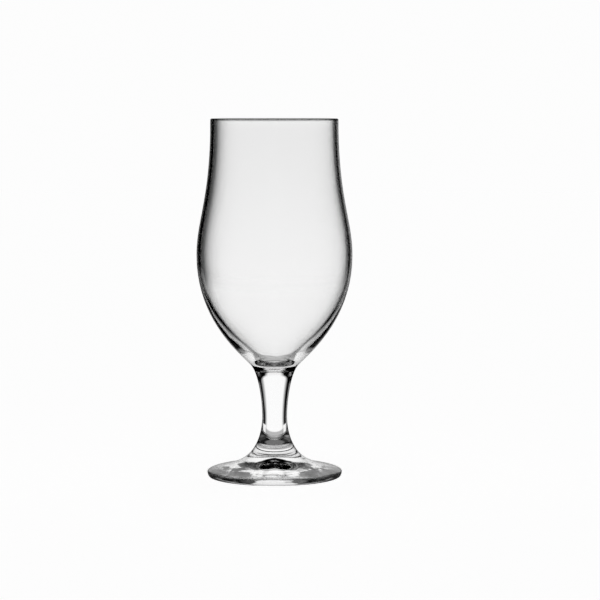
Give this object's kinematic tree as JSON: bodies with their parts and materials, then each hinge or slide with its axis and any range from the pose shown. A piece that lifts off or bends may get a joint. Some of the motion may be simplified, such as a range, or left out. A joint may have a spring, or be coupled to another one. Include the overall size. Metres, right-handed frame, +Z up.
{
  "type": "beer goblet",
  "caption": "Stemmed beer goblet in plain clear glass: a thin bowl with a straight mouth and a low belly, on a solid waisted stem and a wide round foot.",
  "frame": {"origin": "centre of the flat ring that the foot stands on, at the table's surface", "axes": "+Z up along the axis of the glass; X and Y lie in the table's surface, and the glass is the same all round"},
  "size_m": [0.0782, 0.0782, 0.18],
  "materials": {
    "bowl_glass": "polished, clear and colourless",
    "stem_glass": "polished, clear and colourless",
    "foot_glass": "polished, clear and colourless, slightly wavy from the press"
  },
  "bodies": {
    "root": {"bowl": "bowl_glass", "stem": "stem_glass", "foot": "foot_glass"}
  },
  "joints": []
}
